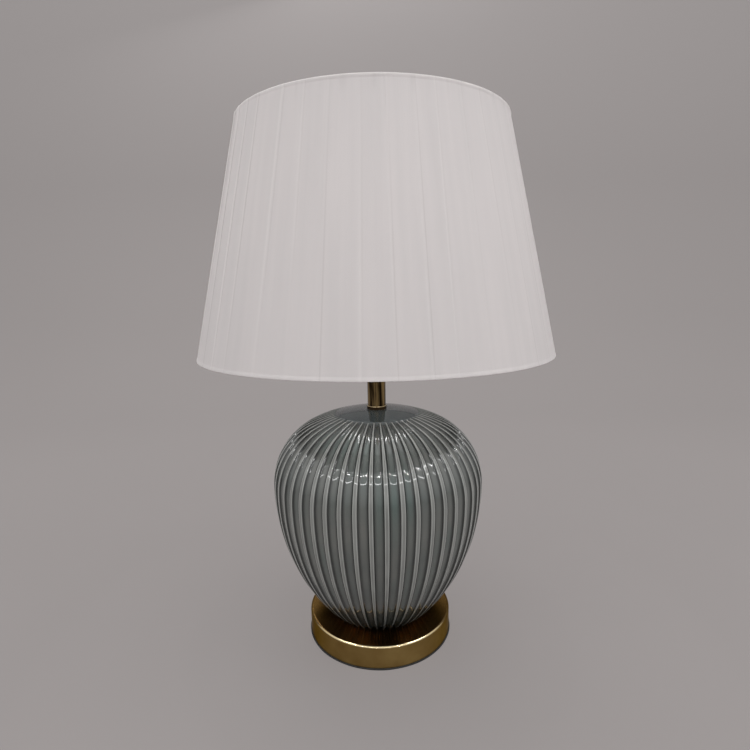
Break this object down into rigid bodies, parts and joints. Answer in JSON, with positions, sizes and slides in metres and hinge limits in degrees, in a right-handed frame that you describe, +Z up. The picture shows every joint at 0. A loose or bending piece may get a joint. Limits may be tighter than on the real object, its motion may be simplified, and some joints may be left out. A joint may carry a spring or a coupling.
{
  "type": "ceramic table lamp",
  "caption": "Table lamp with an egg-shaped ribbed ceramic body on a round brass base and a conical pleated fabric shade on a harp.",
  "frame": {"origin": "on the surface that the felt stands on, under the middle of the base and shade", "axes": "+Z up along the lamp's axis; -Y is the front, +Y the side where the cord leaves the base"},
  "size_m": [0.3446, 0.3446, 0.528],
  "materials": {
    "felt": "black wool felt",
    "board": "plain fibreboard",
    "cement": "cast cement",
    "antique_brass": "brushed antique brass, lacquered",
    "neck_brass": "polished antique brass",
    "polished_brass": "bright brass",
    "socket_brass": "satin brass",
    "screw_shell_brass": "plain brass",
    "zinc_steel": "zinc plated",
    "black_plastic": "moulded nylon",
    "black_phenolic": "moulded phenolic",
    "glazed_ceramic": "grey-green glaze, glossy",
    "bulb_aluminium": "bright",
    "bulb_black_glass": "glossy",
    "opal_glass": "opal",
    "white_wire": "white powder coat",
    "white_lining": "matt white sheet",
    "white_fabric": "pleated chiffon over lining"
  },
  "bodies": {
    "lamp": {"felt_pad": "felt", "base_board": "board", "base_weight": "cement", "base_pan": "antique_brass", "cord_bushing": "black_plastic", "base_washer": "zinc_steel", "base_nut": "zinc_steel", "threaded_tube": "zinc_steel", "saddle_nut": "zinc_steel", "ceramic_body": "glazed_ceramic", "neck_ring": "neck_brass", "neck_tube": "neck_brass", "neck_cap": "neck_brass", "harp_saddle": "polished_brass", "harp_loop": "polished_brass", "socket_cap": "socket_brass", "socket_cap_screw": "zinc_steel", "socket_shell": "socket_brass", "socket_liner": "board", "switch_body": "black_phenolic", "screw_shell": "screw_shell_brass", "centre_contact": "screw_shell_brass", "live_terminal": "screw_shell_brass", "neutral_terminal": "zinc_steel"},
    "switch_key": {"switch_spindle": "screw_shell_brass", "switch_knob": "black_phenolic"},
    "bulb": {"bulb_contact": "bulb_aluminium", "bulb_insulator": "bulb_black_glass", "bulb_cap": "bulb_aluminium", "bulb_glass": "opal_glass"},
    "front_ferrule": {"front_ferrule": "polished_brass"},
    "rear_ferrule": {"rear_ferrule": "polished_brass"},
    "shade": {"harp_stud": "polished_brass", "shade_spider": "white_wire", "top_ring": "white_wire", "bottom_ring": "white_wire", "shade_lining": "white_lining", "shade_cover": "white_fabric"},
    "finial": {"finial": "polished_brass"}
  },
  "joints": [
    {"name": "shade_turn", "type": "hinge", "parent": "lamp", "child": "shade", "pos_m": [0, 0, 0.4975], "axis": [0, 0, 1], "continuous": true},
    {"name": "finial_turn", "type": "hinge", "parent": "shade", "child": "finial", "pos_m": [0, 0, 0.502], "axis": [0, 0, 1], "continuous": true},
    {"name": "switch_turn", "type": "hinge", "parent": "lamp", "child": "switch_key", "pos_m": [0.0192, 0, 0.32356], "axis": [1, 0, 0], "continuous": true},
    {"name": "bulb_unscrew", "type": "slide", "parent": "lamp", "child": "bulb", "axis": [0, 0, 1], "range_m": [0, 0.024]},
    {"name": "front_ferrule_lift", "type": "slide", "parent": "lamp", "child": "front_ferrule", "axis": [0, 0, 1], "range_m": [0, 0.012]},
    {"name": "rear_ferrule_lift", "type": "slide", "parent": "lamp", "child": "rear_ferrule", "axis": [0, 0, 1], "range_m": [0, 0.012]}
  ]
}
